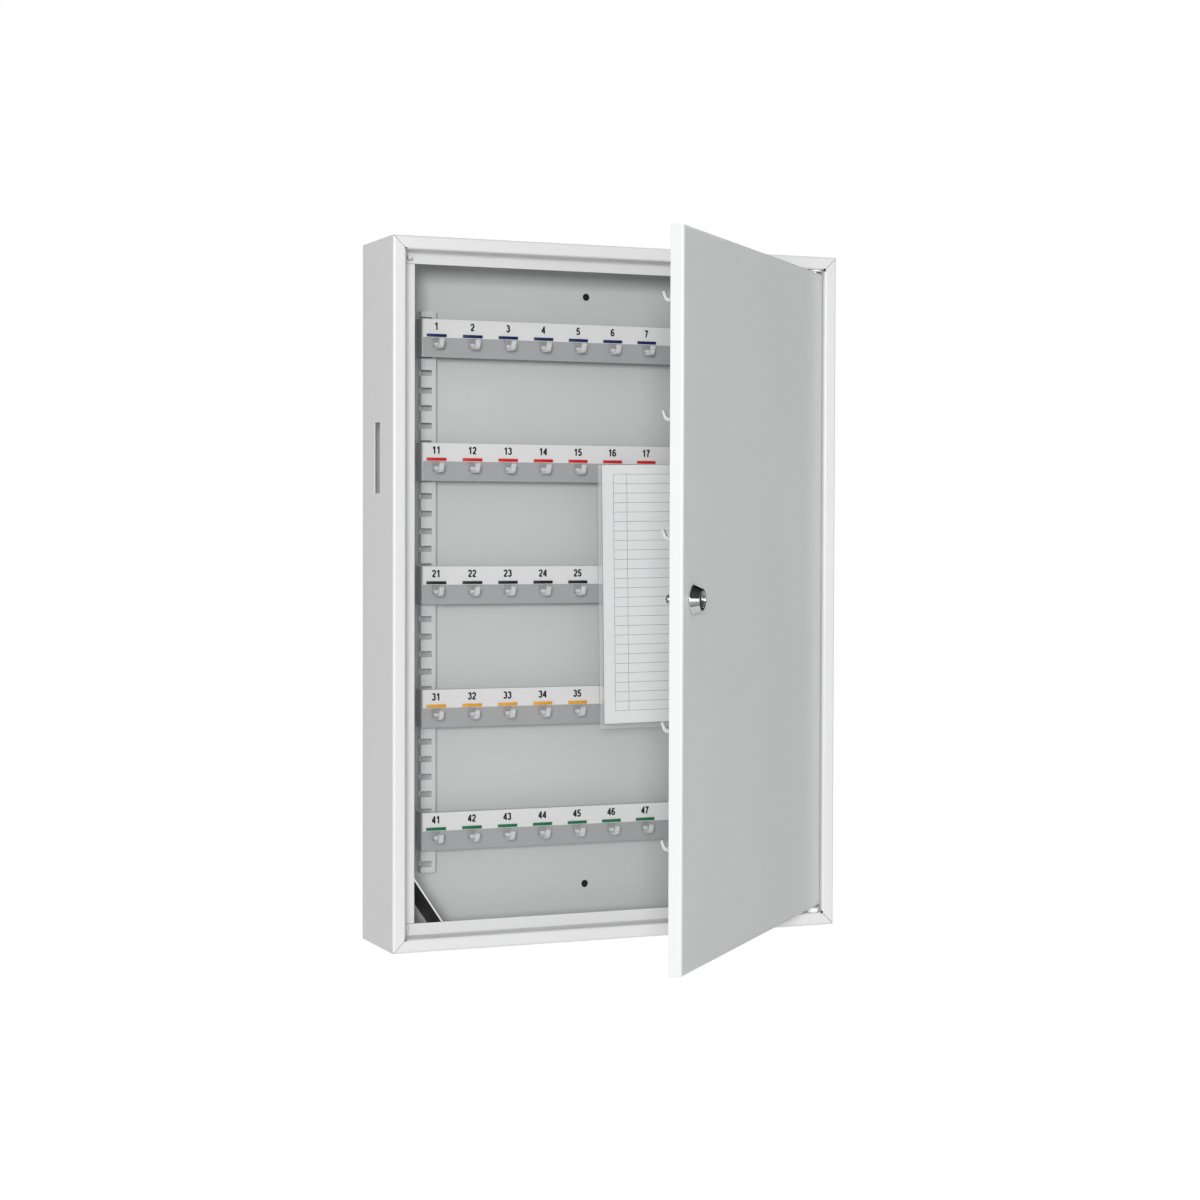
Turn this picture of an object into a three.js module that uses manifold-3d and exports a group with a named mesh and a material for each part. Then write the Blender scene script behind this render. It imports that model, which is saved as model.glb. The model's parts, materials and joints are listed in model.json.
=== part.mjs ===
// Wall key cabinet: folded sheet-metal body, inset door on pivot pins, cam lock,
// slotted rails with key-hook strips, and an index card hanging on the second row.
// Millimetres. +X right, +Y towards the wall, +Z up. The origin is the middle of the
// back panel's wall face, so the front plane is at Y = -cabinetDepth.
import * as THREE from 'three';
import { mergeVertices } from 'three/addons/utils/BufferGeometryUtils.js';
import Module from 'manifold-3d';

const wasm = await Module();
wasm.setup();

// ---------------------------------------------------------------- driving dimensions
// Body
const cabinetWidth = 380;
const cabinetHeight = 550;
const cabinetDepth = 80;
const sheet = 1;               // sheet-metal thickness
const bendRadius = 1.5;        // middle-line radius of every fold
const gap = 0.3;               // clearance between pieces that touch or are welded
const flangeWidth = 10.5;      // front rim of the body
const recessDepth = 18.5;      // front plane to the ledge
const ledgeWidthSides = 12.5;
const ledgeWidthEnds = 9;
const cornerRelief = 2.4;      // open notch where two front rims meet
const mitreGap = 0.5;          // width of the mitre joints at the corners
const panelRim = 6;            // folded rim of the back panel
const fixingHoleRadius = 3;
const fixingHoleInset = 33.5;  // top or bottom of the body to a wall-fixing hole

// Key drop
const dropSlotWidth = 15;
const dropSlotHeight = 55;
const dropSlotFromFront = 42;  // front plane to the middle of the slot
const dropSlotRise = 106;      // middle of the body to the middle of the slot
const chuteRise = 84.5;
const chuteRun = 56;
const chuteSheet = 1.2;
const chuteTab = 11;

// Rails and hook strips
const railEndInset = 51;       // top or bottom of the body to a rail end
const railFace = 12.4;
const railHeight = 8.7;        // how far a rail stands off the back panel
const slotPitch = 14;
const slotHeight = 4.6;
const slotReach = 8.8;         // slot length across the rail's face
const slotWrap = 5;            // slot length round the bend, from the face backwards
const rowCount = 5;
const stripSideInset = 42;     // outside of the body to a strip end
const stripHeight = 30.4;
const stripStandoff = 9.4;     // rail face to the back of a strip's web
const legPastRail = 2.2;       // rail side to the inside of a strip's leg
const tabHeight = 2.4;
const tabDrop = 2.6;           // how far a tab's tail hangs behind the rail face
const labelThickness = 0.4;
const labelHeight = 14.6;
const labelEndInset = 1;

// Key hooks
const hooksPerRow = 10;
const hookEndInset = 12.1;     // strip end to the middle of its first hook
const hookWidth = 4;
const carrierTop = 11.8;       // strip top to the top of the coloured carrier
const carrierHeight = 2.5;
const carrierThickness = 0.7;
const hookDrop = 24;           // strip top to the underside of a hook
const hookReach = 11.5;        // carrier to the front of a hook's heel
const armThickness = 2.2;
const tipThickness = 1.8;
const tipHeight = 5.4;         // arm top to the top of the tip
const tipLeanDegrees = 25;

// Door
const doorOpenDegrees = 47;
const doorSetback = 0;         // closed door face behind the front plane
const doorThickness = 10;
const doorLatchGap = 3;
const doorHingeGap = 2;
const doorTopGap = 3;
const doorBottomGap = 5.5;
const doorReturn = 8;          // width of the folded return inside the door's edge
const doorEdgeRadius = 2;
const pivotShift = 0.5;        // pivot axis nearer the hinge edge than half the door's thickness
const doorStripStandoff = 12.2; // inside of the door sheet to the back of a strip's web
const doorRowTopInset = 40.7;
const doorRowBottomInset = 90.4;
const doorRowsAboveLock = 3;
const doorRowsBelowLock = 2;
const doorLockBay = 136.5;     // row middle above the lock to row middle below it
const doorStripFoot = 9;

// Pivots
const pinRadius = 2;
const pinPlay = 0.3;
const bushWall = 1.3;
const bushFlange = 1.5;        // how far the bush's collar stands past its sleeve
const bushCollar = 1.2;
const pinTail = 9;             // length of pin held inside the door
const washerThickness = 1.1;
const blockWidth = 15;
const blockHeight = 11;

// Lock
const lockInset = 22;          // free edge of the door to the lock axis
const lockRise = 2.4;          // middle of the body to the lock axis
const rosetteBaseRadius = 10.9;
const rosetteFrontRadius = 7.7;
const rosetteHeight = 6.8;
const rosetteLip = 1.2;        // ring left round the housing's front
const housingRadius = 6;
const housingPastDoor = 3;     // back of the door to the housing's inner end
const plugRadius = 4;
const keywayWidth = 1.6;
const keywayHeight = 5.6;
const keywayDepth = 8;
const nutAcrossFlats = 17;
const nutThickness = 3;
const camThickness = 2;
const camWidth = 11;
const camReach = 30;           // lock axis to the cam's tip
const screwHeadRadius = 3.9;
const screwHeadHeight = 4;
const screwRadius = 1.5;
const screwDepth = 5;          // length of screw inside the plug
const strikeHeight = 50;       // slot in the side rim that the cam turns into
const strikePlay = 1.5;        // clearance either side of the cam in that slot

// Door buffers
const bufferRadius = 1.6;
const bufferTopInset = 6.3;    // inside of the side rim to the upper buffer
const bufferBottomInset = 3.4;
const bufferEdgeInset = 5;     // inside of the end rim to an upper buffer
const bufferSpacer = 7;        // inside of the end rim to the lower buffer

// Index card and its pocket
const cardWidth = 148;
const cardHeight = 210;
const cardThickness = 0.3;
const pocketFilm = 0.3;
const pocketBorder = 4.5;
const cardLeft = -0.5;         // middle of the body to the card's left edge
const cardTiltDegrees = 0.8;   // the pocket hangs on its first hook, a little askew
const cardRow = 2;             // the card hangs on the second row
const pocketHeadroom = 5.4;    // top of the holes to the pocket's top edge
const pocketHoleWidth = 8;
const pocketHoleHeight = 12;
const pocketNeck = 14;         // height over which the rear film steps forwards

// ---------------------------------------------------------------- derived places
const halfWidth = cabinetWidth / 2;
const halfHeight = cabinetHeight / 2;
const front = -cabinetDepth;
const ledgeFace = front + recessDepth;
const openingHalfWidth = halfWidth - flangeWidth;
const openingHalfHeight = halfHeight - flangeWidth;
const panelFace = -sheet;      // room side of the back panel

const railLength = cabinetHeight - 2 * railEndInset;
const slotCount = Math.floor(railLength / slotPitch);
const firstSlot = (slotCount - 1) * slotPitch / 2;
const slotsPerRow = Math.floor((slotCount - 3) / (rowCount - 1));
const stripLength = cabinetWidth - 2 * stripSideInset;
const halfStrip = stripLength / 2;
const railOuter = halfStrip - sheet - legPastRail;
const railFront = panelFace - gap - railHeight;
const stripFront = railFront - stripStandoff - sheet;
const labelFront = stripFront - gap - labelThickness;
const carrierBack = labelFront - gap;
const hookPitch = (stripLength - 2 * hookEndInset) / (hooksPerRow - 1);
const tabSettle = (slotHeight - tabHeight) / 2 - gap;  // a tab rests this far below its slot's middle

const doorFront = front + doorSetback;
const doorBack = doorFront + doorThickness;
const doorRight = openingHalfWidth - doorHingeGap;
const doorLeft = -openingHalfWidth + doorLatchGap;
const doorTop = openingHalfHeight - doorTopGap;
const doorBottom = -openingHalfHeight + doorBottomGap;
const pivotX = doorRight - (doorThickness / 2 - pivotShift);
const pivotY = doorFront + doorThickness / 2;
const doorInside = doorFront + sheet;
const doorStripFace = doorInside + doorStripStandoff + sheet;
const doorRowPitch = (doorTop - doorBottom - doorRowTopInset - doorRowBottomInset - doorLockBay)
  / (doorRowsAboveLock + doorRowsBelowLock - 2);
const lockX = doorLeft + lockInset;

const housingEnd = doorBack + housingPastDoor;
const camSeat = housingEnd + 2 * gap;

const hookFront = carrierBack - carrierThickness - hookReach;
const armTop = -hookDrop + armThickness;               // measured from a strip's top
const tipLean = Math.tan(THREE.MathUtils.degToRad(tipLeanDegrees));

// ---------------------------------------------------------------- materials
const finish = (color, roughness, metalness) =>
  new THREE.MeshStandardMaterial({ color, roughness, metalness });
const bodyPaint = finish(0xdcdddc, 0.5, 0.1);
const doorPaint = finish(0xc6c7c7, 0.5, 0.1);
const stripPaint = finish(0xb4b5b6, 0.5, 0.1);
const paper = finish(0xf2f2f0, 0.85, 0);
const clearPlastic = finish(0xe9edee, 0.25, 0);
const chrome = finish(0xd5d7da, 0.15, 1);
const steel = finish(0xa9abad, 0.35, 1);
const whitePlastic = finish(0xf0f0ee, 0.45, 0);
const softRubber = finish(0xd9d9d6, 0.75, 0);

// ---------------------------------------------------------------- solid helpers
// A closed three.js geometry as a solid, turned to face outwards.
function solid(geometry) {
  geometry.deleteAttribute('normal');
  geometry.deleteAttribute('uv');
  const merged = mergeVertices(geometry, 1e-4);
  const vertProperties = new Float32Array(merged.attributes.position.array);
  const faces = Array.from(merged.index.array);
  const made = (triVerts) => new wasm.Manifold(new wasm.Mesh({ numProp: 3, vertProperties, triVerts }));
  const body = made(new Uint32Array(faces));
  return body.volume() > 0 ? body : made(new Uint32Array(faces.reverse()));
}

function box(x, y, z) {
  const size = [x[1] - x[0], y[1] - y[0], z[1] - z[0]];
  const geometry = new THREE.BoxGeometry(...size);
  geometry.translate((x[0] + x[1]) / 2, (y[0] + y[1]) / 2, (z[0] + z[1]) / 2);
  return solid(geometry);
}

function extrusion(outline, length) {
  const shape = new THREE.Shape(outline.map(([a, b]) => new THREE.Vector2(a, b)));
  return new THREE.ExtrudeGeometry(shape, { depth: length, bevelEnabled: false });
}

// An outline in the XY, YZ or XZ plane, extruded along Z, X or Y over a span.
function prismZ(outline, span) {
  const geometry = extrusion(outline, span[1] - span[0]);
  geometry.translate(0, 0, span[0]);
  return solid(geometry);
}

function prismX(outline, span) {
  const geometry = extrusion(outline, span[1] - span[0]);
  const turn = new THREE.Matrix4().makeBasis(
    new THREE.Vector3(0, 1, 0), new THREE.Vector3(0, 0, 1), new THREE.Vector3(1, 0, 0));
  geometry.applyMatrix4(turn);
  geometry.translate(span[0], 0, 0);
  return solid(geometry);
}

function prismY(outline, span) {
  const geometry = extrusion(outline, span[1] - span[0]);
  geometry.rotateX(Math.PI / 2);
  geometry.translate(0, span[1], 0);
  return solid(geometry);
}

// A round piece: [radius, height] steps turned about the Z axis at (x, y).
function turnedZ(steps, x, y, sides = 20) {
  const geometry = new THREE.LatheGeometry(steps.map(([r, h]) => new THREE.Vector2(r, h)), sides);
  geometry.rotateX(Math.PI / 2);
  geometry.translate(x, y, 0);
  return solid(geometry);
}

// The same about an axis along Y at (x, z), with the steps measured along +Y.
function turnedY(steps, x, z, sides = 24) {
  const geometry = new THREE.LatheGeometry(steps.map(([r, h]) => new THREE.Vector2(r, h)), sides);
  geometry.translate(x, 0, z);
  return solid(geometry);
}

// A washer-shaped or sleeve-shaped outline for turnedZ and turnedY, closed on itself.
function ring(inner, outer, from, to) {
  return [[inner, from], [outer, from], [outer, to], [inner, to], [inner, from]];
}

// The outline of a sheet folded along a middle line, with a round at every fold.
function foldedSheet(path, thickness = sheet, radius = bendRadius, steps = 5) {
  const points = path.map(([a, b]) => new THREE.Vector2(a, b));
  const rib = [];
  const add = (point, direction) => rib.push([point, new THREE.Vector2(-direction.y, direction.x)]);
  for (let i = 0; i < points.length; i += 1) {
    const into = i > 0 ? points[i].clone().sub(points[i - 1]).normalize() : null;
    const out = i < points.length - 1 ? points[i + 1].clone().sub(points[i]).normalize() : null;
    if (!into || !out) {
      add(points[i], into || out);
      continue;
    }
    const turn = Math.atan2(into.cross(out), into.dot(out));
    const reach = radius * Math.tan(Math.abs(turn) / 2);
    const start = points[i].clone().addScaledVector(into, -reach);
    const side = new THREE.Vector2(-into.y, into.x).multiplyScalar(Math.sign(turn) * radius);
    const centre = start.clone().add(side);
    for (let step = 0; step <= steps; step += 1) {
      const angle = turn * step / steps;
      add(start.clone().rotateAround(centre, angle), into.clone().rotateAround(new THREE.Vector2(), angle));
    }
  }
  const edge = (sign) => rib.map(([p, n]) => [p.x + sign * n.x * thickness / 2, p.y + sign * n.y * thickness / 2]);
  return [...edge(1), ...edge(-1).reverse()];
}

const object = new THREE.Group();
const doorHinge = new THREE.Group();
const doorFrame = new THREE.Group();
doorHinge.position.set(pivotX, pivotY, 0);
doorHinge.rotation.z = THREE.MathUtils.degToRad(doorOpenDegrees);
doorFrame.position.set(-pivotX, -pivotY, 0);
doorHinge.add(doorFrame);
object.add(doorHinge);

function place(name, body, material, parent = object) {
  const { vertProperties, triVerts } = body.getMesh();
  const geometry = new THREE.BufferGeometry();
  geometry.setAttribute('position', new THREE.BufferAttribute(new Float32Array(vertProperties), 3));
  geometry.setIndex(new THREE.BufferAttribute(new Uint32Array(triVerts), 1));
  const mesh = new THREE.Mesh(geometry, material);
  mesh.name = name;
  parent.add(mesh);
}

// ---------------------------------------------------------------- body
// Middle line of a folded side, as [distance in from the outside, distance behind the front].
function sidePath(ledgeWidth) {
  const middle = sheet / 2;
  return [
    [middle, cabinetDepth],
    [middle, middle],
    [flangeWidth - middle, middle],
    [flangeWidth - middle, recessDepth + middle],
    [flangeWidth + ledgeWidth, recessDepth + middle],
  ];
}

// The side's silhouette from the front, as [distance in, distance from the corner]. Wall and
// rim are mitred; the end ledges run through, and the side ledges stop against them.
function mitreMask(length, ledgeStart) {
  const deep = flangeWidth + Math.max(ledgeWidthSides, ledgeWidthEnds) + 1;
  const seam = mitreGap / 2;
  const nearEnd = [[-1, seam - 1], [flangeWidth, flangeWidth + seam], [flangeWidth, ledgeStart], [deep, ledgeStart]];
  const farEnd = nearEnd.map(([inward, along]) => [inward, length - along]).reverse();
  return [...nearEnd, ...farEnd];
}

function cornerReliefs() {
  const half = cornerRelief / 2;
  const notches = [];
  for (const x of [-openingHalfWidth, openingHalfWidth]) {
    for (const z of [-openingHalfHeight, openingHalfHeight]) {
      notches.push(box([x - half, x + half], [front - 1, front + 2 * cornerRelief], [z - half, z + half]));
    }
  }
  return notches.reduce((all, notch) => all.add(notch));
}

function uprightSide(hand) {
  const section = foldedSheet(sidePath(ledgeWidthSides)).map(([u, v]) => [hand * (halfWidth - u), front + v]);
  const mask = mitreMask(cabinetHeight, flangeWidth + ledgeWidthEnds + gap)
    .map(([u, along]) => [hand * (halfWidth - u), along - halfHeight]);
  return prismZ(section, [-halfHeight, halfHeight])
    .intersect(prismY(mask, [front - 1, 1]))
    .subtract(cornerReliefs());
}

function endSide(hand) {
  const section = foldedSheet(sidePath(ledgeWidthEnds)).map(([u, v]) => [front + v, hand * (halfHeight - u)]);
  const mask = mitreMask(cabinetWidth, flangeWidth + gap)
    .map(([u, along]) => [along - halfWidth, hand * (halfHeight - u)]);
  const bushHole = hand * (openingHalfHeight + sheet / 2);
  return prismX(section, [-halfWidth, halfWidth])
    .intersect(prismY(mask, [front - 1, 1]))
    .subtract(cornerReliefs())
    .subtract(box(
      [pivotX - bushSleeveRadius() - gap, pivotX + bushSleeveRadius() + gap],
      [pivotY - bushSleeveRadius() - gap, pivotY + bushSleeveRadius() + gap],
      [bushHole - sheet, bushHole + sheet]));
}

function strikeSlot() {
  return box(
    [-openingHalfWidth - 2 * sheet, -openingHalfWidth + sheet],
    [camSeat - strikePlay, camSeat + camThickness + strikePlay],
    [lockRise - strikeHeight / 2, lockRise + strikeHeight / 2]);
}

function dropSlot() {
  const middle = front + dropSlotFromFront;
  return box(
    [-halfWidth - 1, -halfWidth + 2 * sheet],
    [middle - dropSlotWidth / 2, middle + dropSlotWidth / 2],
    [dropSlotRise - dropSlotHeight / 2, dropSlotRise + dropSlotHeight / 2]);
}

function backPanel() {
  const x = halfWidth - sheet - gap;
  const z = halfHeight - sheet - gap;
  const hole = (height) => turnedY(
    [[0, -2 * sheet], [fixingHoleRadius, -2 * sheet], [fixingHoleRadius, sheet], [0, sheet]], 0, height, 20);
  return box([-x, x], [-panelRim, 0], [-z, z])
    .subtract(box([-x + sheet, x - sheet], [-panelRim - 1, panelFace], [-z + sheet, z - sheet]))
    .subtract(hole(halfHeight - fixingHoleInset))
    .subtract(hole(fixingHoleInset - halfHeight));
}

// A slanted plate that turns keys dropped through the slot out onto the floor.
function dropChute() {
  const wall = -halfWidth + sheet + gap + chuteSheet / 2;
  const floor = -halfHeight + sheet + gap + chuteSheet / 2;
  const path = [
    [wall, floor + chuteRise + chuteTab],
    [wall, floor + chuteRise],
    [wall + chuteRun, floor],
    [wall + chuteRun + chuteTab, floor],
  ];
  return prismY(foldedSheet(path, chuteSheet), [ledgeFace + sheet + 2 * gap, -panelRim - gap]);
}

function buildBody() {
  place('left_side', uprightSide(-1).subtract(dropSlot()).subtract(strikeSlot()), bodyPaint);
  place('right_side', uprightSide(1), bodyPaint);
  place('top_side', endSide(1), bodyPaint);
  place('bottom_side', endSide(-1), bodyPaint);
  place('back_panel', backPanel(), bodyPaint);
  place('drop_chute', dropChute(), bodyPaint);
}

// ---------------------------------------------------------------- rails and strips
function rail(hand) {
  const outer = hand * railOuter;
  const inner = hand * (railOuter - railFace);
  const span = (a, b) => [Math.min(a, b), Math.max(a, b)];
  const back = panelFace - gap;
  let body = box(span(outer, inner), [railFront, back], [-railLength / 2, railLength / 2])
    .subtract(box(
      span(outer - hand * sheet, inner + hand * sheet),
      [railFront + sheet, back + 1],
      [-railLength / 2 - 1, railLength / 2 + 1]));
  for (let i = 0; i < slotCount; i += 1) {
    const z = firstSlot - i * slotPitch;
    body = body.subtract(box(
      span(outer + hand, outer - hand * slotReach),
      [railFront - 1, railFront + slotWrap],
      [z - slotHeight / 2, z + slotHeight / 2]));
  }
  return body;
}

// Height of the middle of a row on the rails; rows count from 1 at the top.
const rowHeight = (row) => firstSlot - (1 + (row - 1) * slotsPerRow) * slotPitch - tabSettle;

// One tab: it passes through the rail's slot and hangs behind the rail's face.
function stripTab(hand, z) {
  const back = railFront + sheet + gap;
  const span = (a, b) => [Math.min(a, b), Math.max(a, b)];
  const bar = box(
    span(hand * (halfStrip - sheet / 2), hand * (railOuter - sheet - gap - 4)),
    [back, back + sheet],
    [z - tabHeight / 2, z + tabHeight / 2]);
  const tail = box(
    span(hand * (railOuter - sheet - gap), hand * (railOuter - sheet - gap - 4)),
    [back, back + sheet],
    [z - tabHeight / 2 - tabDrop, z]);
  return bar.add(tail);
}

function railStrip(z) {
  const legEnd = railFront + sheet + gap + sheet;
  const middle = stripFront + sheet / 2;
  const path = [
    [-halfStrip + sheet / 2, legEnd],
    [-halfStrip + sheet / 2, middle],
    [halfStrip - sheet / 2, middle],
    [halfStrip - sheet / 2, legEnd],
  ];
  let body = prismZ(foldedSheet(path, sheet, sheet), [z - stripHeight / 2, z + stripHeight / 2]);
  for (const hand of [-1, 1]) {
    body = body.add(stripTab(hand, z)).add(stripTab(hand, z - slotPitch));
  }
  return body;
}

function label(y, z) {
  const top = z + stripHeight / 2 - gap;
  return box([-halfStrip + labelEndInset, halfStrip - labelEndInset], y, [top - labelHeight, top]);
}

// A row of hooks on one carrier, for a strip whose front is at `stripFace`. `out` is -1 where
// the hooks point to -Y and 1 where they point to +Y.
function hookRow(stripFace, z, out) {
  const top = z + stripHeight / 2;
  const y = (depth) => stripFace + out * depth;
  const back = gap;                                     // hook stem behind the label's edge
  const carrier = gap + labelThickness + gap;
  const stem = carrier + carrierThickness;
  const heel = stem + hookReach;
  const lean = tipHeight * tipLean;
  const outline = [
    [y(carrier), top - carrierTop],
    [y(stem), top - carrierTop],
    [y(stem), top + armTop],
    [y(heel - tipThickness), top + armTop],
    [y(heel - tipThickness + lean), top + armTop + tipHeight],
    [y(heel + lean), top + armTop + tipHeight],
    [y(heel), top - hookDrop],
    [y(back), top - hookDrop],
    [y(back), top - labelHeight - 2 * gap],
    [y(carrier), top - labelHeight - 2 * gap],
  ];
  const ends = [y(carrier), y(stem)].sort((a, b) => a - b);
  let body = box(
    [-halfStrip + labelEndInset, halfStrip - labelEndInset],
    ends,
    [top - carrierTop - carrierHeight, top - carrierTop]);
  for (let i = 0; i < hooksPerRow; i += 1) {
    const x = -halfStrip + hookEndInset + i * hookPitch;
    body = body.add(prismX(outline, [x - hookWidth / 2, x + hookWidth / 2]));
  }
  return body;
}

function buildRows() {
  place('left_rail', rail(-1), stripPaint);
  place('right_rail', rail(1), stripPaint);
  for (let row = 1; row <= rowCount; row += 1) {
    const z = rowHeight(row);
    place(`key_strip_${row}`, railStrip(z), stripPaint);
    place(`label_${row}`, label([labelFront, labelFront + labelThickness], z), paper);
    place(`hook_row_${row}`, hookRow(stripFront, z, -1), clearPlastic);
  }
}

// ---------------------------------------------------------------- door
function doorPan() {
  const shell = (inset, from, to) => {
    const r = doorEdgeRadius;
    const [x0, x1, z0, z1] = [doorLeft + inset, doorRight - inset, doorBottom + inset, doorTop - inset];
    const outline = (lift) => [[x0 + lift, z0 + lift], [x1 - lift, z0 + lift], [x1 - lift, z1 - lift], [x0 + lift, z1 - lift]];
    if (inset > 0) {
      return prismY(outline(0), [from, to]);
    }
    const arc = [...Array(6).keys()].map((i) => {
      const angle = i * Math.PI / 10;
      return [r * (1 - Math.sin(angle)), r * (1 - Math.cos(angle))];
    });
    return softSlab(arc, outline, from, to);
  };
  return shell(0, doorFront, doorBack)
    .subtract(shell(sheet, doorInside, doorBack - sheet))
    .subtract(prismY([
      [doorLeft + doorReturn, doorBottom + doorReturn], [doorRight - doorReturn, doorBottom + doorReturn],
      [doorRight - doorReturn, doorTop - doorReturn], [doorLeft + doorReturn, doorTop - doorReturn],
    ], [doorInside, doorBack + 1]))
    .subtract(turnedY([[0, doorFront - 1], [housingRadius + gap, doorFront - 1],
      [housingRadius + gap, doorInside + 1], [0, doorInside + 1]], lockX, lockRise))
    .subtract(turnedZ([[0, doorBottom - 1], [pinRadius + gap, doorBottom - 1],
      [pinRadius + gap, doorTop + 1], [0, doorTop + 1]], pivotX, pivotY, 16));
}

// A slab between `from` and `to` whose front edges step in by [inset, depth] pairs.
function softSlab(steps, outline, from, to) {
  const rings = [...steps.map(([inset, depth]) => [inset, from + depth]), [0, to]];
  const positions = [];
  for (const [inset, y] of rings) {
    for (const [x, z] of outline(inset)) {
      positions.push(x, y, z);
    }
  }
  const index = [];
  const corner = (level, i) => level * 4 + (i % 4);
  for (let level = 0; level < rings.length - 1; level += 1) {
    for (let i = 0; i < 4; i += 1) {
      index.push(corner(level, i), corner(level, i + 1), corner(level + 1, i + 1));
      index.push(corner(level, i), corner(level + 1, i + 1), corner(level + 1, i));
    }
  }
  const last = rings.length - 1;
  index.push(0, 2, 1, 0, 3, 2);
  index.push(corner(last, 0), corner(last, 1), corner(last, 2), corner(last, 0), corner(last, 2), corner(last, 3));
  const geometry = new THREE.BufferGeometry();
  geometry.setAttribute('position', new THREE.Float32BufferAttribute(positions, 3));
  geometry.setIndex(index);
  return solid(geometry);
}

// A strip on the door: its legs end in feet on the inside of the door sheet.
function doorStrip(z) {
  const foot = doorInside + gap + sheet / 2;
  const web = doorStripFace - sheet / 2;
  const x = halfStrip - sheet / 2;
  const path = [
    [-x + doorStripFoot, foot],
    [-x, foot],
    [-x, web],
    [x, web],
    [x, foot],
    [x - doorStripFoot, foot],
  ];
  return prismZ(foldedSheet(path, sheet, sheet), [z - stripHeight / 2, z + stripHeight / 2]);
}

// Row middles on the door, counted from 1 at the top, with the lock's bay between the groups.
function doorRowHeight(row) {
  const bay = row > doorRowsAboveLock ? doorLockBay - doorRowPitch : 0;
  return doorTop - doorRowTopInset - (row - 1) * doorRowPitch - bay;
}

function bushSleeveRadius() {
  return pinRadius + pinPlay + bushWall;
}

// A flanged bush in the frame's rim; `end` is 1 at the top and -1 at the bottom.
function pivotBush(end, collar) {
  const inner = pinRadius + pinPlay;
  const sleeve = bushSleeveRadius();
  const rim = end * openingHalfHeight;
  const steps = [
    [inner, rim - end * (gap + collar)],
    [sleeve + bushFlange, rim - end * (gap + collar)],
    [sleeve + bushFlange, rim - end * gap],
    [sleeve, rim - end * gap],
    [sleeve, rim + end * (sheet + 1)],
    [inner, rim + end * (sheet + 1)],
    [inner, rim - end * (gap + collar)],
  ];
  return turnedZ(steps, pivotX, pivotY);
}

function hingePin(end) {
  const inside = end > 0 ? doorTop - pinTail : doorBottom + pinTail;
  const outside = end * (openingHalfHeight + sheet + 2);
  const tip = outside - end * 0.6;
  const steps = [[0, inside], [pinRadius, inside], [pinRadius, tip], [pinRadius - 0.6, outside], [0, outside]];
  return turnedZ(steps, pivotX, pivotY, 16);
}

function hingeBlock(end) {
  const x = [doorRight - sheet - gap - blockWidth, doorRight - sheet - gap];
  const y = [doorInside + gap, doorBack - sheet - gap];
  const outer = end > 0 ? doorTop - sheet - gap : doorBottom + sheet + gap;
  const z = [outer - end * blockHeight, outer].sort((a, b) => a - b);
  const bore = pinRadius + gap;
  return box(x, y, z).subtract(turnedZ(
    [[0, z[0] - 1], [bore, z[0] - 1], [bore, z[1] + 1], [0, z[1] + 1]], pivotX, pivotY, 16));
}

function pivotWasher() {
  const top = doorBottom - gap;
  return turnedZ(
    ring(pinRadius + gap, bushSleeveRadius() + bushFlange, top - washerThickness, top), pivotX, pivotY);
}

function doorBuffer(x, z) {
  const seat = ledgeFace - gap;
  const tip = doorBack + gap;
  const round = bufferRadius / 3;
  return turnedY([[0, tip], [bufferRadius - round, tip], [bufferRadius, tip + round],
    [bufferRadius, seat], [0, seat]], x, z, 16);
}

function buildDoor() {
  place('door_pan', doorPan(), doorPaint, doorFrame);
  for (let row = 1; row <= doorRowsAboveLock + doorRowsBelowLock; row += 1) {
    const z = doorRowHeight(row);
    const labelBack = doorStripFace + gap;
    place(`door_strip_${row}`, doorStrip(z), stripPaint, doorFrame);
    place(`door_label_${row}`, label([labelBack, labelBack + labelThickness], z), paper, doorFrame);
    place(`door_hook_row_${row}`, hookRow(doorStripFace, z, 1), clearPlastic, doorFrame);
  }
  const lowerCollar = doorBottomGap - 3 * gap - washerThickness;
  place('upper_hinge_pin', hingePin(1), steel, doorFrame);
  place('lower_hinge_pin', hingePin(-1), steel, doorFrame);
  place('upper_hinge_block', hingeBlock(1), steel, doorFrame);
  place('lower_hinge_block', hingeBlock(-1), steel, doorFrame);
  place('lower_pivot_washer', pivotWasher(), steel, doorFrame);
  place('upper_pivot_bush', pivotBush(1, bushCollar), whitePlastic);
  place('lower_pivot_bush', pivotBush(-1, lowerCollar), whitePlastic);
  place('upper_buffer', doorBuffer(-openingHalfWidth + bufferTopInset, openingHalfHeight - bufferEdgeInset), softRubber);
  place('lower_buffer', doorBuffer(-openingHalfWidth + bufferBottomInset, -openingHalfHeight + bufferSpacer), softRubber);
}

// ---------------------------------------------------------------- lock
function lockRosette() {
  const inner = housingRadius + gap;
  const base = doorFront - gap;
  return turnedY([[inner, base - rosetteHeight], [rosetteFrontRadius, base - rosetteHeight],
    [rosetteBaseRadius, base], [inner, base], [inner, base - rosetteHeight]], lockX, lockRise, 32);
}

function lockHousing() {
  const face = doorFront - gap - rosetteHeight + rosetteLip;
  const bore = plugRadius + gap;
  return turnedY(ring(bore, housingRadius, face, housingEnd), lockX, lockRise);
}

function lockNut() {
  const from = doorInside + gap;
  const corner = nutAcrossFlats / Math.sqrt(3);
  const outline = [0, 1, 2, 3, 4, 5].map((i) => [
    lockX + corner * Math.cos(i * Math.PI / 3),
    lockRise + corner * Math.sin(i * Math.PI / 3)]);
  return prismY(outline, [from, from + nutThickness])
    .subtract(turnedY([[0, from - 1], [housingRadius + gap, from - 1],
      [housingRadius + gap, from + nutThickness + 1], [0, from + nutThickness + 1]], lockX, lockRise));
}

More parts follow.
